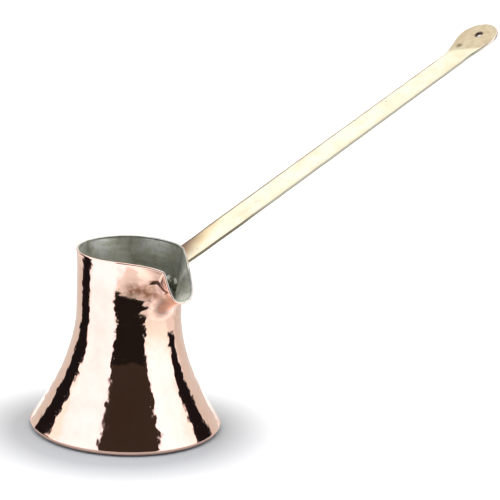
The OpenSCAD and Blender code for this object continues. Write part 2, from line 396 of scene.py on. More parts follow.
def crease(column, row):
    """Depth of the sharp crease on each side of the beak, falling away from the lip as it goes back."""
    along_crease = (turn_from_beak(column) - CREASE_START) / (CREASE_END - CREASE_START)
    fall = CREASE_FALL * np.clip(along_crease, 0, 1) ** CREASE_CURVE
    across = (row - 3 + fall) * CREASE_STRETCH
    fade = smooth(along_crease * CREASE_FADE_IN + 1) * smooth((1 - along_crease) * CREASE_FADE_OUT)
    return CREASE_DEPTH * fade * np.exp(-(across / CREASE_HALF_WIDTH) ** 2)


def beak_reflection_and_shade(column, row, z):
    """Strength of the painted brown reflection beside and below the beak. In the crease it goes past 1,
    into painted dark shade.
    """
    from_beak = turn_from_beak(column)
    sideways = ramp(from_beak, *GROWS_ASIDE) * ramp(from_beak, *FADES_ASIDE)
    above = z - BEAK_PAINT_HEIGHT - BEAK_PAINT_CLIMB * ramp(from_beak, *CLIMBS_ASIDE)
    height = above / np.where(above > 0, BEAK_PAINT_REACH_UP, BEAK_PAINT_REACH_DOWN)
    beside = BEAK_PAINT_BESIDE * sideways * np.exp(-height ** 2)
    below = BEAK_PAINT_BELOW * ramp(from_beak, *BELOW_BEAK) * ramp(z, *ABOVE_FLARE)
    return np.maximum(beside + below, CREASE_SHADE_SHARE * crease(column, row) / CREASE_DEPTH)


# ---- meshes ----

def grid_faces(rows, columns):
    """Quads of a grid of rings, closed round each ring."""
    ring_start = np.arange(rows - 1)[:, None] * columns
    here = ring_start + np.arange(columns)[None, :]
    beside = ring_start + (np.arange(columns)[None, :] + 1) % columns
    return np.stack([here, beside, beside + columns, here + columns], axis=-1).reshape(-1, 4).tolist()


def make_piece(name, points, faces, material, replaced):
    """A shaded mesh object that stands for a CAD node. Points are in millimetres."""
    mesh = bpy.data.meshes.new(name)
    mesh.from_pydata((np.asarray(points) * METRES).tolist(), [], faces)
    mesh.validate()
    mesh.materials.append(material)
    mesh.polygons.foreach_set("use_smooth", [True] * len(mesh.polygons))
    piece = bpy.data.objects.new(name, mesh)
    bpy.context.scene.collection.objects.link(piece)
    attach(piece, "root")
    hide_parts(replaced)
    return piece


def closed_rings(rings, first_hub, last_hub):
    """Points and faces of a closed shell made of rings, with a hub at each end."""
    count, columns = rings.shape[:2]
    points = np.concatenate([rings.reshape(-1, 3), [first_hub, last_hub]])
    faces = grid_faces(count, columns)
    last = (count - 1) * columns
    for i in range(columns):
        j = (i + 1) % columns
        faces.append([count * columns, j, i])
        faces.append([count * columns + 1, last + i, last + j])
    return points, faces


# Row counts are for the base edge, the flare, and the neck with the beak.
OUTSIDE_ROWS = (12, 150, 84)
INSIDE_ROWS = (10, 80, 60)
HIDDEN_ROWS = (6, 24, 30)
COLUMNS = np.linspace(-180, 180, 720, endpoint=False)
UNDERSIDE_RINGS = 14
INSIDE_RINGS = 30
HIDDEN_RINGS = 6

RIM_SEAM = 0.6
GAP = 0.02
BASE_DISH = 0.35
INSIDE_PRINT = 0.35

# The hammering grows over these heights above the base, and this steeply in rows below the rim.
CALM_OUTSIDE = 3.0
CALM_INSIDE = 6.0
CALM_AT_RIM = 25.0


def wall_grid(row_counts):
    """Columns and rows of a grid of points over the whole wall."""
    rows = wall_rows(COLUMNS, *row_counts)
    return np.repeat(COLUMNS[None, :], len(rows), axis=0), rows


def calm(z, rows, calm_height):
    """0 at the base and the rim, where the wall is plain, and 1 between."""
    return smooth(z / calm_height) * smooth((3 - rows) * CALM_AT_RIM)


def make_body(material):
    """The copper: underside, hammered wall and beak, outer edge of the rim, and the plain back."""
    columns, rows = wall_grid(OUTSIDE_ROWS)
    z = skin(columns, rows)[..., 2]
    dents = calm(z, rows, CALM_OUTSIDE) * (hammering(columns, z) + crease(columns, rows))
    wall = wall_points(columns, rows, dents)
    underside = floor_points(COLUMNS, 0.0, UNDERSIDE_RINGS, BASE_DISH)[::-1]
    rim = rim_points(COLUMNS, np.linspace(0, RIM_SEAM, 6)[1:])
    back = wall_points(*wall_grid(HIDDEN_ROWS), WALL)[::-1]
    inner_floor = floor_points(COLUMNS, WALL, HIDDEN_RINGS)
    rings = np.concatenate([underside, wall, rim, back, inner_floor])
    points, faces = closed_rings(rings, (0, 0, BASE_DISH), (0, 0, WALL))
    piece = make_piece("body", points, faces, material, "copper_body")
    # The painted reflection and shade by the beak is stored on the outer wall's points.
    marked = np.zeros(len(points))
    first = underside.shape[0] * len(COLUMNS)
    marked[first:first + columns.size] = beak_reflection_and_shade(columns, rows, z).reshape(-1)
    beak_paint_layer = piece.data.attributes.new("beak_reflection_and_shade", "FLOAT", "POINT")
    beak_paint_layer.data.foreach_set("value", marked.astype(np.float32))


def make_lining(material):
    """The tin: over the rim, down the inside, across the floor, and a plain back against the copper."""
    columns, rows = wall_grid(INSIDE_ROWS)
    z = skin(columns, rows)[..., 2]
    dents = INSIDE_PRINT * calm(z, rows, CALM_INSIDE) * hammering(columns, z)
    front = wall_points(columns, rows, WALL + TIN - dents)[::-1]
    front_floor = floor_points(COLUMNS, WALL + TIN, INSIDE_RINGS)
    rim = rim_points(COLUMNS, np.linspace(RIM_SEAM, LIP_THICKNESS, 12))
    back = wall_points(*wall_grid(HIDDEN_ROWS), WALL + GAP)
    back_floor = floor_points(COLUMNS, WALL + GAP, HIDDEN_RINGS)[::-1]
    rings = np.concatenate([back_floor, back, rim, front, front_floor])
    points, faces = closed_rings(rings, (0, 0, WALL + GAP), (0, 0, WALL + TIN))
    make_piece("lining", points, faces, material, "tin_lining")


# ======== handle ========

def along(slope):
    """The direction along the strip, seen edge-on, at a slope in degrees."""
    return np.stack([np.cos(np.radians(slope)), np.sin(np.radians(slope))], axis=-1)


def square_to(slope):
    """The direction out of the strip's upper face, seen edge-on, at a slope in degrees."""
    return np.stack([-np.sin(np.radians(slope)), np.cos(np.radians(slope))], axis=-1)


BEND_OUTER = BEND_RADIUS + STRIP_THICKNESS
BEND_END = BEND_OUTER * math.radians(90 - FOOT_SLOPE)
SETTLE_END = BEND_END + SETTLE_RADIUS * math.radians(BAR_SLOPE - FOOT_SLOPE)
BAR_END = SETTLE_END + BAR_LENGTH
LIFT_END = BAR_END + LIFT_RADIUS * math.radians(END_SLOPE - BAR_SLOPE)
END_CENTRE = LIFT_END + END_FLARE - 1
HOLE_CENTRE = END_CENTRE + HOLE_OFFSET
FOOT_CENTRE = RIVET_HEIGHT - BEND_HEIGHT
HOLE_PLACE = np.array([HOLE_CENTRE, 0.0])
BAR_START = 1.0
BAR_FACE_START = 2.0
BAR_FACE_END = BAR_END - 4
WRAP_START = -1.0
WRAP_LENGTH = BEND_END + 3

# ---- how finely the strip is drawn, and how it is softened ----
FOOT_ARC_POINTS = 28
BAR_POINTS = 160
LIFT_POINTS = 10
FLANK_POINTS = 14
END_ARC_POINTS = 40
OUTLINE_SOFTENING = 12
EDGE_ROUND = 0.6
EDGE_SQUARENESS = 0.8
EDGE_STEPS = 6
SPANS_ACROSS = 12
FOOT_RINGS = 11
END_RINGS = 15
WAVE_DEPTH = 0.02
WAVES_FULL_FROM = 20.0
# Each wave has its radians per millimetre lengthways and sideways, and its phase.
WAVES = ((0.31, 0.0, 1.3), (0.53, 0.2, 0.0), (0.17, -0.35, 0.0))


def strip_line(s):
    """The upper face of the strip edge-on, and its slope, at length s from the foot of the bend."""
    bend = 90 - np.degrees(np.clip(s, 0, BEND_END) / BEND_OUTER)
    settle = FOOT_SLOPE + np.degrees(np.clip(s - BEND_END, 0, SETTLE_END - BEND_END) / SETTLE_RADIUS)
    lift = BAR_SLOPE + np.degrees(np.clip(s - BAR_END, 0, LIFT_END - BAR_END) / LIFT_RADIUS)
    centre = np.array([NECK_RADIUS + BEND_OUTER, BEND_HEIGHT])
    place = centre + BEND_OUTER * square_to(bend)
    place = place + np.minimum(s, 0)[..., None] * np.array([0.0, 1.0])
    place = place + SETTLE_RADIUS * (square_to(FOOT_SLOPE) - square_to(settle))
    place = place + np.clip(s - SETTLE_END, 0, BAR_LENGTH)[..., None] * along(BAR_SLOPE)
    place = place + LIFT_RADIUS * (square_to(BAR_SLOPE) - square_to(lift))
    place = place + np.maximum(s - LIFT_END, 0)[..., None] * along(END_SLOPE)
    slope = np.where(s < BEND_END, bend, np.where(s < BAR_END, settle, lift))
    return place, slope


def arc(centre, radius, start, end, count):
    """Points of an arc in plan, round a centre on the strip's middle line."""
    turn = np.linspace(start, end, count)
    return np.stack([centre + radius * np.cos(turn), radius * np.sin(turn)], axis=-1)


def half_outline():
    """One side of the flattened strip, from the middle of the foot's edge to the tip of the rounded end."""
    lean = math.asin((END_RADIUS - END_WIDTH / 2) / END_FLARE)
    foot = arc(FOOT_CENTRE, FOOT_RADIUS, math.pi, math.asin(WAIST_WIDTH / 2 / FOOT_RADIUS), FOOT_ARC_POINTS)
    length = np.concatenate([np.linspace(BAR_START, BAR_END - 2, BAR_POINTS),
                             np.linspace(BAR_END - 1, LIFT_END - 1, LIFT_POINTS)])
    width = np.interp(length, [BAR_START, WAIST_END, TAPER_START, LIFT_END],
                      [WAIST_WIDTH, WAIST_WIDTH, FOOT_WIDTH, END_WIDTH])
    bar = np.stack([length, width / 2], axis=-1)
    end = arc(END_CENTRE, END_RADIUS, math.pi / 2 + lean, 0, END_ARC_POINTS)
    flank = bar[-1] + (end[0] - bar[-1]) * np.linspace(0, 1, FLANK_POINTS)[1:-1, None]
    line = np.concatenate([foot, bar, flank, end])
    for _ in range(OUTLINE_SOFTENING):
        line[1:-1] = (line[:-2] + 2 * line[1:-1] + line[2:]) / 4
    return line


def edge_profile():
    """Distances in from the edge and shares of the half thickness, round a softly squared edge."""
    turn = np.linspace(0, math.pi / 2, EDGE_STEPS)
    return EDGE_ROUND * (1 - np.cos(turn) ** EDGE_SQUARENESS), np.sin(turn) ** EDGE_SQUARENESS


def bent(flat):
    """Bends the flattened strip to shape. Flat is length, width and depth below the upper face."""
    length, width, depth = flat[..., 0], flat[..., 1], flat[..., 2]
    place, slope = strip_line(length)
    place = place - depth[..., None] * square_to(slope)
    wrap = 1 - smooth((length - WRAP_START) / WRAP_LENGTH)
    round_radius = NECK_RADIUS + depth
    angle = width / NECK_RADIUS
    x = place[..., 0] - wrap * round_radius * (1 - np.cos(angle))
    y = width + wrap * (round_radius * np.sin(angle) - width)
    return np.stack([x, y, place[..., 1]], axis=-1)


def waves(flat):
    """Slow waves over the face of the hand-worked strip, growing from the bend."""
    length, width = flat[:, 0], flat[:, 1]
    total = sum(np.sin(length * lengthways + width * sideways + phase)
                for lengthways, sideways, phase in WAVES)
    return WAVE_DEPTH * ramp(length, 0, WAVES_FULL_FROM) * total


class Patches:
    """Grids of points that are welded into one mesh where they meet."""

    def __init__(self):
        self.points = []
        self.faces = []
        self.count = 0

    def add(self, grid, flip, wrap=False):
        """Adds a grid, turned over if flip, and with its last row joined to its first if wrap."""
        rows, columns = grid.shape[:2]
        for i in range(rows if wrap else rows - 1):
            row = self.count + i * columns
            next_row = self.count + (i + 1) % rows * columns
            for j in range(columns - 1):
                corners = [row + j, row + j + 1, next_row + j + 1, next_row + j]
                self.faces.append(corners[::-1] if flip else corners)
        self.points.append(grid.reshape(-1, 3))
        self.count += rows * columns

    def welded(self):
        """The points without repeats, and the faces without corners that fell together."""
        points = np.concatenate(self.points)
        _, first, index = np.unique(np.round(points, 4), axis=0, return_index=True, return_inverse=True)
        index = index.reshape(-1)
        faces = []
        for face in self.faces:
            corners = [int(index[k]) for k in face]
            corners = [corner for n, corner in enumerate(corners) if corner != corners[n - 1]]
            if len(set(corners)) > 2:
                faces.append(corners)
        return points[first], faces


def at_depth(plan, depth):
    """Points of the flattened strip from places in plan and one depth below the upper face."""
    return np.concatenate([plan, np.full(plan.shape[:-1] + (1,), depth)], axis=-1)


def rounded_edge(line, inward):
    """Rows of points round a softly squared edge, along a line, from the lower face to the upper."""
    half = STRIP_THICKNESS / 2
    steps = list(zip(*edge_profile()))
    lower = [at_depth(line + inset * inward, half + half * rise) for inset, rise in steps[:0:-1]]
    upper = [at_depth(line + inset * inward, half - half * rise) for inset, rise in steps]
    return np.array(lower + upper)


def closed_loop(*lines):
    """Lines end to end, with the first point again at the end."""
    loop = np.concatenate(lines)
    return np.concatenate([loop, loop[:1]])


def rings_between(outer, inner, count):
    """Rings from one loop to another, or to a point."""
    shares = np.linspace(0, 1, count)[:, None, None]
    return outer * (1 - shares) + inner * shares


def make_handle(material):
    """The brass strip: foot, bend, long bar and rounded end with its hanging hole."""
    side = half_outline()
    outline = np.concatenate([side, side[-2:0:-1] * [1, -1]])
    tangent = unit(np.roll(outline, -1, axis=0) - np.roll(outline, 1, axis=0))
    inward = np.stack([tangent[:, 1], -tangent[:, 0]], axis=-1)
    patches = Patches()
    outer_edge = rounded_edge(outline, inward)
    patches.add(outer_edge.transpose(1, 0, 2), flip=False, wrap=True)

    face_edge = outer_edge[0, :, :2]
    foot_end = int(np.argmax(side[:, 0] > BAR_FACE_START))
    bar_end = int(np.argmax(side[:, 0] > BAR_FACE_END))
    shares = np.linspace(0, 1, SPANS_ACROSS + 1)[:, None]

    def crossing(i):
        """Points straight across the face, from one side to the other."""
        return face_edge[i] + (face_edge[-i] - face_edge[i]) * shares

    foot_loop = closed_loop(face_edge[-foot_end:], face_edge[:foot_end], crossing(foot_end)[:-1])
    end_loop = closed_loop(face_edge[bar_end:-bar_end], crossing(bar_end)[:0:-1])
    from_hole = unit(end_loop - HOLE_PLACE)
    hole_edge = rounded_edge(HOLE_PLACE + HOLE_RADIUS * from_hole, from_hole)
    bar = np.array([crossing(i) for i in range(foot_end, bar_end + 1)])
    foot = rings_between(foot_loop, np.array([FOOT_CENTRE, 0.0]), FOOT_RINGS)
    end = rings_between(end_loop, hole_edge[0, :, :2], END_RINGS)
    for depth, flip in ((0.0, False), (STRIP_THICKNESS, True)):
        patches.add(at_depth(bar, depth), flip)
        patches.add(at_depth(foot, depth), not flip)
        patches.add(at_depth(end, depth), not flip)
    patches.add(hole_edge[::-1], flip=True)

    flat, faces = patches.welded()
    shaped = flat.copy()
    shaped[:, 2] += waves(flat)
    piece = make_piece("handle_strip", bent(shaped), faces, material, "handle")
    strip = piece.data.attributes.new("strip", "FLOAT_VECTOR", "POINT")
    strip.data.foreach_set("vector", (flat * METRES).astype(np.float32).reshape(-1))


# ======== rivets ========

HEAD_POINTS = 48
HEAD_RINGS = 18
HEAD_WOBBLE = 0.02
HEAD_TILT = 0.02
HEAD_FLAT = 0.12
ROOT_DEPTH = 0.9
FIRST_HEAD_SEED = 3
INNER_SEAT = math.sqrt((NECK_RADIUS - WALL - TIN) ** 2 - RIVET_HEAD_RADIUS ** 2)
OUTER_SEAT = NECK_RADIUS + STRIP_THICKNESS


def rivet_head(seat, side, seed):
    """A slightly uneven domed head on its seat along X, towards side, with its root sunk in the seat."""
    rng = np.random.default_rng(seed)
    turns = np.linspace(0, 2 * math.pi, HEAD_POINTS, endpoint=False)
    ball = (RIVET_HEAD_RADIUS ** 2 + RIVET_HEAD_HEIGHT ** 2) / (2 * RIVET_HEAD_HEIGHT)
    sweep = math.asin(RIVET_HEAD_RADIUS / ball)
    wobble = 1 + sum(rng.uniform(-HEAD_WOBBLE, HEAD_WOBBLE) * np.cos(n * turns + rng.uniform(0, 6.3))
                     for n in (2, 3, 5))
    crown = RIVET_HEAD_HEIGHT - HEAD_FLAT
    rings = [(0.9 * RIVET_HEAD_RADIUS, -ROOT_DEPTH), (0.97 * RIVET_HEAD_RADIUS, -ROOT_DEPTH / 3)]
    for angle in np.linspace(sweep, 0, HEAD_RINGS)[:-1]:
        rings.append((ball * math.sin(angle), RIVET_HEAD_HEIGHT - ball * (1 - math.cos(angle))))
    shell = []
    for radius, height in rings:
        uneven = min(height, crown) + HEAD_TILT * np.cos(3 * turns + seed)
        shell.append(np.stack([seat + side * uneven, radius * wobble * np.cos(turns),
                               side * radius * wobble * np.sin(turns)], axis=-1))
    return closed_rings(np.array(shell), (seat - side * ROOT_DEPTH, 0, 0), (seat + side * crown, 0, 0))


def make_rivet_heads(name, seat, side, material):
    """The two heads on one side of the neck, as one piece."""
    middle = math.radians(RIVET_TURN)
    turn = RIVET_SPACING / NECK_RADIUS / 2
    points, faces = [], []
    for seed, angle in enumerate((middle - turn, middle + turn), FIRST_HEAD_SEED):
        head, head_faces = rivet_head(seat, side, seed)
        spin = np.array(Matrix.Rotation(angle, 3, "Z"))
        start = sum(len(p) for p in points)
        points.append(head @ spin.T + [0, 0, RIVET_HEIGHT])
        faces += [[start + k for k in face] for face in head_faces]
    make_piece(name, np.concatenate(points), faces, material, "rivets")


# ======== materials ========

# Lengths in a material are metres, and noise scales are per metre. A value named strip is a place on the
# flattened strip, as make_handle stores it: length from the bend, width from the middle, and depth.

class Shader:
    """Short calls for building the nodes of a material or a world."""

    def __init__(self, owner):
        owner.use_nodes = True
        self.tree = owner.node_tree
        self.tree.nodes.clear()

    def node(self, kind, settings=None, **inputs):
        """A node with its settings, and its inputs by name, with _ for a space."""
        made = self.tree.nodes.new(kind)
        for key, value in (settings or {}).items():
            setattr(made, key, value)
        for key, value in inputs.items():
            self.put(made.inputs[key.replace("_", " ")], value)
        return made

    def put(self, socket, value):
        """Links another node's output to a socket, or writes a plain value in it."""
        if isinstance(value, bpy.types.NodeSocket):
            self.tree.links.new(value, socket)
        else:
            socket.default_value = value

    def math(self, operation, a, b=0.0, c=0.0):
        """One step of arithmetic on single values."""
        made = self.node("ShaderNodeMath", {"operation": operation})
        for socket, value in zip(made.inputs, (a, b, c)):
            self.put(socket, value)
        return made.outputs[0]

    def scaled(self, vector, x, y, z):
        """The vector with each axis multiplied."""
        made = self.node("ShaderNodeVectorMath", {"operation": "MULTIPLY"}, Vector=vector)
        made.inputs[1].default_value = (x, y, z)
        return made.outputs[0]

    def distance(self, vector, place):
        """How far the vector's point is from a place."""
        made = self.node("ShaderNodeVectorMath", {"operation": "DISTANCE"}, Vector=vector)
        made.inputs[1].default_value = place
        return made.outputs["Value"]

    def split(self, vector):
        """The three parts of a vector."""
        return self.node("ShaderNodeSeparateXYZ", Vector=vector).outputs

    def place(self):
        """The point being shaded, in metres from the object's origin."""
        return self.node("ShaderNodeTexCoord").outputs["Object"]

    def stored(self, name, output):
        """A value that make_body or make_handle stored on its mesh, and 0 on other meshes."""
        return self.node("ShaderNodeAttribute", {"attribute_name": name}).outputs[output]

    def noise(self, vector, scale, detail, roughness=0.5):
        """Cloudy noise from 0 to 1."""
        made = self.node("ShaderNodeTexNoise", Vector=vector, Scale=scale, Detail=detail,
                         Roughness=roughness)
        return made.outputs[0]

    def span(self, value, low, high, to_low=0.0, to_high=1.0, kind="LINEAR"):
        """The value carried from the range low to high over to the range to_low to to_high."""
        made = self.node("ShaderNodeMapRange", {"interpolation_type": kind})
        for socket, number in zip(made.inputs, (value, low, high, to_low, to_high)):
            self.put(socket, number)
        return made.outputs[0]

    def ease(self, value, low, high, to_low=0.0, to_high=1.0):
        """The same as span, with a soft start and end."""
        return self.span(value, low, high, to_low, to_high, "SMOOTHSTEP")

    def blend(self, share, first, second):
        """The first colour where the share is 0 and the second where it is 1."""
        made = self.node("ShaderNodeMix", {"data_type": "RGBA"})
        self.put(made.inputs[0], share)
        self.put(made.inputs[6], first)
        self.put(made.inputs[7], second)
        return made.outputs[2]

    def bump(self, height, distance, strength, normal=None):
        """A normal bent by a height, over another normal if one is given."""
        made = self.node("ShaderNodeBump", Height=height, Distance=distance, Strength=strength)
        if normal is not None:
            self.put(made.inputs["Normal"], normal)
        return made.outputs[0]


def metal(name, build):
    """A metallic material whose colour, roughness and normal come from build(shader)."""
    made = bpy.data.materials.new(name)
    shader = Shader(made)
    output = shader.node("ShaderNodeOutputMaterial")
    surface = shader.node("ShaderNodeBsdfPrincipled", Metallic=1.0)
    colour, roughness, normal = build(shader)
    shader.put(surface.inputs["Base Color"], colour)
    shader.put(surface.inputs["Roughness"], roughness)
    shader.put(surface.inputs["Normal"], normal)
    shader.put(output.inputs["Surface"], surface.outputs[0])
    return made


def copper_look(shader):
    """Polished copper: tarnished clouds, a painted brown reflection by the beak with painted shade in its
    crease, polishing lines and small pits.
    """
    clean, clouded = (0.96, 0.66, 0.54, 1), (0.90, 0.57, 0.45, 1)
    # A painted brown reflection of the beak's own underside, and painted dark shade in the crease.
    brown, crease_shade = (0.27, 0.125, 0.07, 1), (0.03, 0.02, 0.02, 1)

    place = shader.place()
    clouds = shader.noise(place, 60.0, 4.0, 0.6)
    colour = shader.blend(shader.span(clouds, 0.42, 0.75), clean, clouded)
    beak_paint = shader.stored("beak_reflection_and_shade", "Fac")
    uneven = shader.span(shader.noise(place, 420.0, 3.0), 0.3, 0.6, 0.55, 1.15)
    # Painted brown reflection by the beak.
    colour = shader.blend(shader.math("MULTIPLY", beak_paint, uneven), colour, brown)
    # Painted dark shade in the crease.
    colour = shader.blend(shader.span(beak_paint, 1.1, 1.3), colour, crease_shade)

    pits = shader.span(shader.noise(place, 900.0, 1.0), 0.76, 0.82)
    polish = shader.span(clouds, 0.3, 0.8, 0.035, 0.075)
    roughness = shader.math("ADD", polish, shader.math("MULTIPLY", pits, 0.15))
    roughness = shader.math("ADD", roughness, shader.math("MULTIPLY", beak_paint, 0.26))
    lines = shader.noise(shader.scaled(place, 1, 1, 9), 260.0, 3.0, 0.6)
    fine = shader.bump(lines, 0.00002, 0.25)
    normal = shader.bump(shader.math("SUBTRACT", 1.0, pits), 0.00004, 0.3, fine)
    return colour, roughness, normal


def tin_look(shader):
    """Hand-wiped tin: grey with clouds, wiping streaks and blotches, darker towards the handle."""
    pale, clouded = (1.0, 1.0, 0.93, 1), (0.66, 0.66, 0.52, 1)
    wiped, blotched = (0.97, 0.98, 0.94, 1), (0.34, 0.34, 0.26, 1)
    shaded = (0.20, 0.20, 0.16, 1)

    place = shader.place()
    clouds = shader.noise(place, 110.0, 5.0, 0.6)
    wiping = shader.noise(shader.scaled(place, 1, 1, 4), 130.0, 4.0, 0.65)
    blotches = shader.noise(shader.scaled(place, 1, 1, 0.5), 170.0, 4.0, 0.6)
    towards_handle = shader.split(place)[0]
    colour = shader.blend(shader.span(clouds, 0.40, 0.62), pale, clouded)
    colour = shader.blend(shader.span(wiping, 0.45, 0.62, 0.0, 0.8), colour, wiped)
    colour = shader.blend(shader.span(blotches, 0.52, 0.66, 0.0, 0.5), colour, blotched)
    colour = shader.blend(shader.ease(towards_handle, -0.004, 0.020, 0.0, 0.40), colour, shaded)
    roughness = shader.span(wiping, 0.3, 0.7, 0.52, 0.34)
    normal = shader.bump(wiping, 0.00015, 0.5)
    return colour, roughness, normal


def shaded_rivet_tin_look(shader):
    """Tin on the rivet heads, painted dark for the dark inside of the pot that they reflect, and worn
    brighter in spots.
    """
    # The dark colour is painted shade, for the dark inside of the pot that the heads reflect.
    dark, bright = (0.24, 0.24, 0.19, 1), (0.62, 0.62, 0.55, 1)

    worn = shader.noise(shader.place(), 500.0, 3.0, 0.6)
    colour = shader.blend(shader.span(worn, 0.5, 0.75), dark, bright)
    roughness = shader.span(worn, 0.3, 0.75, 0.20, 0.30)
    normal = shader.bump(worn, 0.0001, 0.4)
    return colour, roughness, normal


# Where the brass changes colour and where its painted reflection, shade and light lie, in millimetres along
# and across the flattened strip.
# Painted gold reflection near the foot, and painted dark shade at the bend.
GOLD_ALONG = (18.0, 38.0)
GOLD_ACROSS = (-5.0, 2.0)
FOOT_SHADE_ALONG = (1.0, 26.0)
FOOT_SHADE_FROM_FOOT = (-2.0, 8.0)
FAR_EDGE_ACROSS = (5.6, 6.6)
FAR_EDGE_ALONG = (50.0, 120.0)
# Where the rounded end starts to be painted darker, for the darker band it reflects.
END_SHADE_ALONG = (END_CENTRE - 12, END_CENTRE - 10)
PIT_PLACE = (HOLE_CENTRE - 11, 4.2)
PIT_REACH = (0.3, 2.4)
# Where the narrow sides are painted darkest near the neck and painted light round the end.
SIDE_SHADE_NEAR_NECK = (35.0, 65.0)
SIDE_LIGHT_ON_END = (LIFT_END + 2, LIFT_END + 10)
SIDE_FROM_MIDDLE = (0.60, 0.85)
# How far the painted dark shade round the hanging hole reaches.
HOLE_SHADE_REACH = (2.1, 3.0)


def brass_faces(shader, strip, clouds, drawn):
    """Colour of the strip: pale, then a painted gold reflection and painted dark brown shade at the bend,
    and painted darker on the rounded end.
    """
    pale, warm, in_lines = (0.88, 0.84, 0.68, 1), (0.86, 0.74, 0.52, 1), (0.74, 0.60, 0.38, 1)
    gold, foot_shade = (0.80, 0.60, 0.30, 1), (0.18, 0.10, 0.07, 1)
    edge_shade, end_shade, pit = (0.34, 0.30, 0.24, 1), (0.53, 0.43, 0.30, 1), (0.16, 0.12, 0.08, 1)

    length, across, _ = shader.split(strip)
    colour = shader.blend(shader.span(clouds, 0.42, 0.72), pale, warm)
    colour = shader.blend(shader.span(drawn, 0.55, 0.8, 0.0, 0.25), colour, in_lines)

    from_bend = shader.math("ADD", length, shader.math("MULTIPLY", across, -2.0))
    # Painted gold reflection near the foot.
    golden = shader.math("MULTIPLY", shader.ease(from_bend, *metres(GOLD_ALONG), 0.7, 0.0),
                         shader.ease(across, *metres(GOLD_ACROSS)))
    colour = shader.blend(golden, colour, gold)
    # Painted dark shade at the bend, where the strip meets the neck.
    foot_shade_share = shader.math("MULTIPLY", shader.ease(from_bend, *metres(FOOT_SHADE_ALONG), 1.0, 0.0),
                       shader.ease(length, *metres(FOOT_SHADE_FROM_FOOT), 0.15, 1.0))
    colour = shader.blend(foot_shade_share, colour, foot_shade)
    far_edge = shader.math("MULTIPLY", shader.span(across, *metres(FAR_EDGE_ACROSS), 0.0, 0.7),
                           shader.span(length, *metres(FAR_EDGE_ALONG), 1.0, 0.45))
    colour = shader.blend(far_edge, colour, edge_shade)

    # The rounded end is painted darker, a painted reflection of the darker band it faces.
    slanted = shader.math("ADD", length, shader.math("MULTIPLY", across, 0.45))
    tip = shader.ease(slanted, *metres(END_SHADE_ALONG), 0.0, 0.9)
    mottle = shader.span(shader.noise(shader.place(), 260.0, 4.0, 0.65), 0.45, 0.7, 0.7, 1.1)
    colour = shader.blend(shader.math("MULTIPLY", tip, mottle), colour, end_shade)
    from_pit = shader.distance(strip, (*metres(PIT_PLACE), 0.0))
    return shader.blend(shader.span(from_pit, *metres(PIT_REACH), 0.95, 0.0), colour, pit)


def brass_sides(shader, strip):
    """Painted shade and light on the strip's narrow sides: painted dark, darkest near the neck, and painted
    light round the end.
    """
    brown, shade_near_neck, light_on_end = (0.42, 0.38, 0.30, 1), (0.17, 0.14, 0.09, 1), (0.84, 0.74, 0.66, 1)

    length = shader.split(strip)[0]
    colour = shader.blend(shader.ease(length, *metres(SIDE_SHADE_NEAR_NECK), 1.0, 0.0), brown, shade_near_neck)
    return shader.blend(shader.span(length, *metres(SIDE_LIGHT_ON_END)), colour, light_on_end)


def brass_look(shader):
    """Pale polished brass with drawn lines, warm clouds and pits, and painted dark shade round the hanging
    hole.
    """
    hole_shade = (0.12, 0.09, 0.06, 1)

    strip = shader.stored("strip", "Vector")
    place = shader.place()
    clouds = shader.noise(place, 90.0, 4.0, 0.6)
    drawn = shader.noise(shader.scaled(strip, 0.06, 1, 1), 2600.0, 3.0, 0.6)
    depth = shader.split(strip)[2]
    middle = STRIP_THICKNESS / 2
    from_middle = shader.math("ABSOLUTE", shader.math("SUBTRACT", depth, middle * METRES))
    # The narrow sides take the painted shade and light of brass_sides.
    on_side = shader.span(from_middle, *metres(SIDE_FROM_MIDDLE), 1.0, 0.0)
    colour = shader.blend(on_side, brass_faces(shader, strip, clouds, drawn), brass_sides(shader, strip))
    # Painted dark shade round the hanging hole.
    from_hole = shader.distance(strip, metres((HOLE_CENTRE, 0.0, middle)))
    colour = shader.blend(shader.span(from_hole, *metres(HOLE_SHADE_REACH), 1.0, 0.0), colour, hole_shade)

    roughness = shader.math("ADD", shader.span(clouds, 0.3, 0.8, 0.09, 0.14),
                            shader.math("MULTIPLY", on_side, 0.2))
    pits = shader.span(shader.noise(place, 420.0, 1.0), 0.74, 0.8)
    fine = shader.bump(drawn, 0.00002, 0.3)
    normal = shader.bump(shader.math("SUBTRACT", 1.0, pits), 0.0001, 0.6, fine)
    return colour, roughness, normal


# ======== studio ========

ROOF_WHITE = (1.35, 1.35, 1.35, 1)
LOW_WHITE = (1.0, 1.0, 1.0, 1)
LEFT_WHITE = (1.44, 1.50, 1.70, 1)
RIGHT_WHITE = (1.14, 1.24, 1.20, 1)
RIGHT_WINDOW = (1.60, 1.60, 1.80, 1)
BEHIND_LOW = (0.75, 0.75, 0.72, 1)
BEHIND_BROWN = (0.52, 0.40, 0.30, 1)
BEHIND_BRIGHT = (1.30, 1.30, 1.32, 1)
BEHIND_WARM = (1.16, 1.12, 1.02, 1)
FRONT_GAP = (0.042, 0.032, 0.024, 1)
FRONT_GAP_LOW = (0.015, 0.012, 0.011, 1)
SIDE_GAP = (0.012, 0.01, 0.012, 1)

# Turns to the right of the camera's side, elevations, and softness of the patches, in degrees.
LEFT_WALL = (-91, -24)
RIGHT_WALL = (40, 97)
WALL_HEIGHTS = (-45, 52)
WINDOW_HEIGHTS = (0, 52)
FRONT_HEIGHTS = (-21.5, 56)
FRONT_LOW_HEIGHTS = (-21.5, 13)
LEFT_GAP_HEIGHTS = (-45, 22)
RIGHT_GAP_HEIGHTS = (-10, 27)
GAP_EDGE = 1.5
WALL_EDGE = 3.0
WINDOW_EDGE = 13.0
HORIZON_EDGE = 8.0


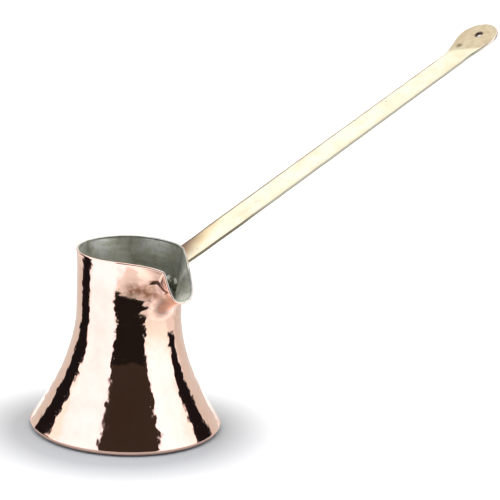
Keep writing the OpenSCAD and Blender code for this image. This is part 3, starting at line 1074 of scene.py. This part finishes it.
class Tent(Shader):
    """A world painted in patches. Turns are degrees to the right of the camera's side of the pot."""

    def __init__(self, world):
        super().__init__(world)
        x, y, z = self.split(self.node("ShaderNodeTexCoord").outputs["Generated"])
        azimuth = self.math("DEGREES", self.math("ARCTAN2", x, self.math("MULTIPLY", y, -1.0)))
        self.elevation = self.math("DEGREES", self.math("ARCSINE", z))
        self.turn = self.math("WRAP", self.math("SUBTRACT", azimuth, VIEW_AZIMUTH), 180.0, -180.0)
        self.away = self.math("ABSOLUTE", self.turn)
        below_horizon = self.inside(self.elevation, (-100, 0), HORIZON_EDGE)
        self.colour = self.blend(below_horizon, ROOF_WHITE, LOW_WHITE)

    def inside(self, value, limits, edge):
        """1 between a low and a high limit, with a soft edge."""
        low, high = limits
        above_low = self.math("SUBTRACT", value, low)
        below_high = self.math("SUBTRACT", high, value)
        return self.math("MULTIPLY", self.ease(above_low, -edge, edge), self.ease(below_high, -edge, edge))

    def drift(self, from_elevation, to_elevation, start, end):
        """A turn that moves from start to end between two elevations."""
        return self.span(self.elevation, from_elevation, to_elevation, start, end)

    def paint(self, turns, heights, radiance, edge=GAP_EDGE):
        """Paints between two turns and two elevations."""
        share = self.math("MULTIPLY", self.inside(self.turn, turns, edge),
                          self.inside(self.elevation, heights, edge))
        self.colour = self.blend(share, self.colour, radiance)

    def paint_behind(self, half_width, heights, radiance, edge):
        """Paints opposite the camera, between two elevations."""
        share = self.math("MULTIPLY", self.inside(self.away, (180 - half_width, 200), edge),
                          self.inside(self.elevation, heights, edge))
        self.colour = self.blend(share, self.colour, radiance)


def paint_walls(tent):
    """The bright walls to the left and right, and the bands behind the pot."""
    tent.paint(LEFT_WALL, WALL_HEIGHTS, LEFT_WHITE, WALL_EDGE)
    tent.paint(RIGHT_WALL, WALL_HEIGHTS, RIGHT_WHITE, WALL_EDGE)
    tent.paint(RIGHT_WALL, WINDOW_HEIGHTS, RIGHT_WINDOW, WINDOW_EDGE)
    tent.paint_behind(60, (-20, 24), BEHIND_LOW, 4)
    tent.paint_behind(45, (26, 36.5), BEHIND_BROWN, 1.2)
    tent.paint_behind(50, (37.2, 41.6), BEHIND_BRIGHT, 0.8)
    tent.paint_behind(45, (41.8, 57), BEHIND_WARM, 0.6)


def paint_gaps(tent):
    """The dark gap on the camera's side, darker low down, and a narrow dark gap to each side."""
    front_left = tent.math("ADD", tent.drift(-17, -9, 6, 0), tent.drift(26, 46, -27, -35))
    front = (front_left, tent.drift(10, 40, 40, 55))
    left = (tent.drift(-4, 12, -122, -135), tent.drift(7, 19, -92, -104))
    right = (tent.drift(10, 20, 97, 104), tent.drift(0, 18, 117, 136))
    tent.paint(front, FRONT_HEIGHTS, FRONT_GAP)
    tent.paint(front, FRONT_LOW_HEIGHTS, FRONT_GAP_LOW)
    tent.paint(left, LEFT_GAP_HEIGHTS, SIDE_GAP)
    tent.paint(right, RIGHT_GAP_HEIGHTS, SIDE_GAP)


def studio_light():
    """A white tent, bright all round but for its dark gaps, and plain white where the camera sees it."""
    world = bpy.data.worlds.new("studio")
    bpy.context.scene.world = world
    tent = Tent(world)
    paint_walls(tent)
    paint_gaps(tent)
    seen = tent.node("ShaderNodeLightPath").outputs["Is Camera Ray"]
    background = tent.node("ShaderNodeBackground", Color=tent.blend(seen, tent.colour, (1.0, 1.0, 1.0, 1)))
    output = tent.node("ShaderNodeOutputWorld")
    tent.put(output.inputs["Surface"], background.outputs[0])


TABLE_GREY = (0.70, 0.70, 0.70, 1)
TABLE_GLOW = 0.68
SHADOW_PLACE = (-7.0, -4.0, 0.0)
SHADOW_FADES = (48.0, 89.0)
NEAR_FLOOR = 130.0
FAR_FLOOR = 6000.0
FLOOR_DROP = 0.1
FLOOR_SIDES = 96


def table_look():
    """White with a soft glow that fades towards the pot, which leaves a pale shadow round its base."""
    white = bpy.data.materials.new("white_table")
    shader = Shader(white)
    surface = shader.node("ShaderNodeBsdfDiffuse", Color=TABLE_GREY)
    apart = shader.distance(shader.place(), metres(SHADOW_PLACE))
    glow = shader.node("ShaderNodeEmission",
                       Strength=shader.span(apart, *metres(SHADOW_FADES), 0.0, TABLE_GLOW))
    both = shader.node("ShaderNodeAddShader")
    shader.put(both.inputs[0], surface.outputs[0])
    shader.put(both.inputs[1], glow.outputs[0])
    output = shader.node("ShaderNodeOutputMaterial")
    shader.put(output.inputs["Surface"], both.outputs[0])
    return white


def add_floor(name, points, faces, material, in_reflections):
    """A flat piece of the table, just below the pot. Points are in millimetres."""
    mesh = bpy.data.meshes.new(name)
    mesh.from_pydata((points * METRES).tolist(), [], faces)
    mesh.materials.append(material)
    floor = bpy.data.objects.new(name, mesh)
    floor.location = (0, 0, -FLOOR_DROP * METRES)
    floor.visible_glossy = in_reflections
    bpy.context.scene.collection.objects.link(floor)


def make_floor():
    """A white table: a disc that shows in reflections round the pot, and a wide plain ring outside it."""
    white = table_look()
    turns = np.linspace(0, 2 * math.pi, FLOOR_SIDES, endpoint=False)
    ring = np.stack([np.cos(turns), np.sin(turns), np.zeros_like(turns)], axis=-1)
    add_floor("near_floor", NEAR_FLOOR * ring, [list(range(len(ring)))], white, True)
    add_floor("far_floor", np.concatenate([NEAR_FLOOR * ring, FAR_FLOOR * ring]), grid_faces(2, len(ring)),
              white, False)


def make_camera():
    """The camera at the photograph's angle."""
    data = bpy.data.cameras.new("camera")
    data.sensor_width = SENSOR_WIDTH
    data.lens = data.sensor_width / 2 / math.tan(math.radians(VIEW_ANGLE / 2))
    data.clip_start = 0.01
    camera = bpy.data.objects.new("camera", data)
    turn, tilt = math.radians(VIEW_AZIMUTH), math.radians(VIEW_ELEVATION)
    back = Vector((math.sin(turn) * math.cos(tilt), -math.cos(turn) * math.cos(tilt), math.sin(tilt)))
    camera.location = (Vector(VIEW_TARGET) + back * VIEW_DISTANCE) * METRES
    look = (-back).to_track_quat("-Z", "Y").to_matrix()
    camera.rotation_mode = "QUATERNION"
    camera.rotation_quaternion = (look @ Matrix.Rotation(math.radians(VIEW_ROLL), 3, "Z")).to_quaternion()
    bpy.context.scene.collection.objects.link(camera)
    bpy.context.scene.camera = camera


# ======== the scene ========

bpy.context.scene.view_settings.view_transform = "Standard"
bpy.context.scene.cycles.caustics_reflective = False

copper = metal("hammered_copper", copper_look)
tin = metal("wiped_tin", tin_look)
shaded_rivet_tin = metal("shaded_rivet_tin", shaded_rivet_tin_look)
brass = metal("drawn_brass", brass_look)

make_body(copper)
make_lining(tin)
make_handle(brass)
make_rivet_heads("rivet_heads_inside", INNER_SEAT, -1, shaded_rivet_tin)
make_rivet_heads("rivet_heads_outside", OUTER_SEAT, 1, copper)

studio_light()
make_floor()
make_camera()

bpy.context.view_layer.update()
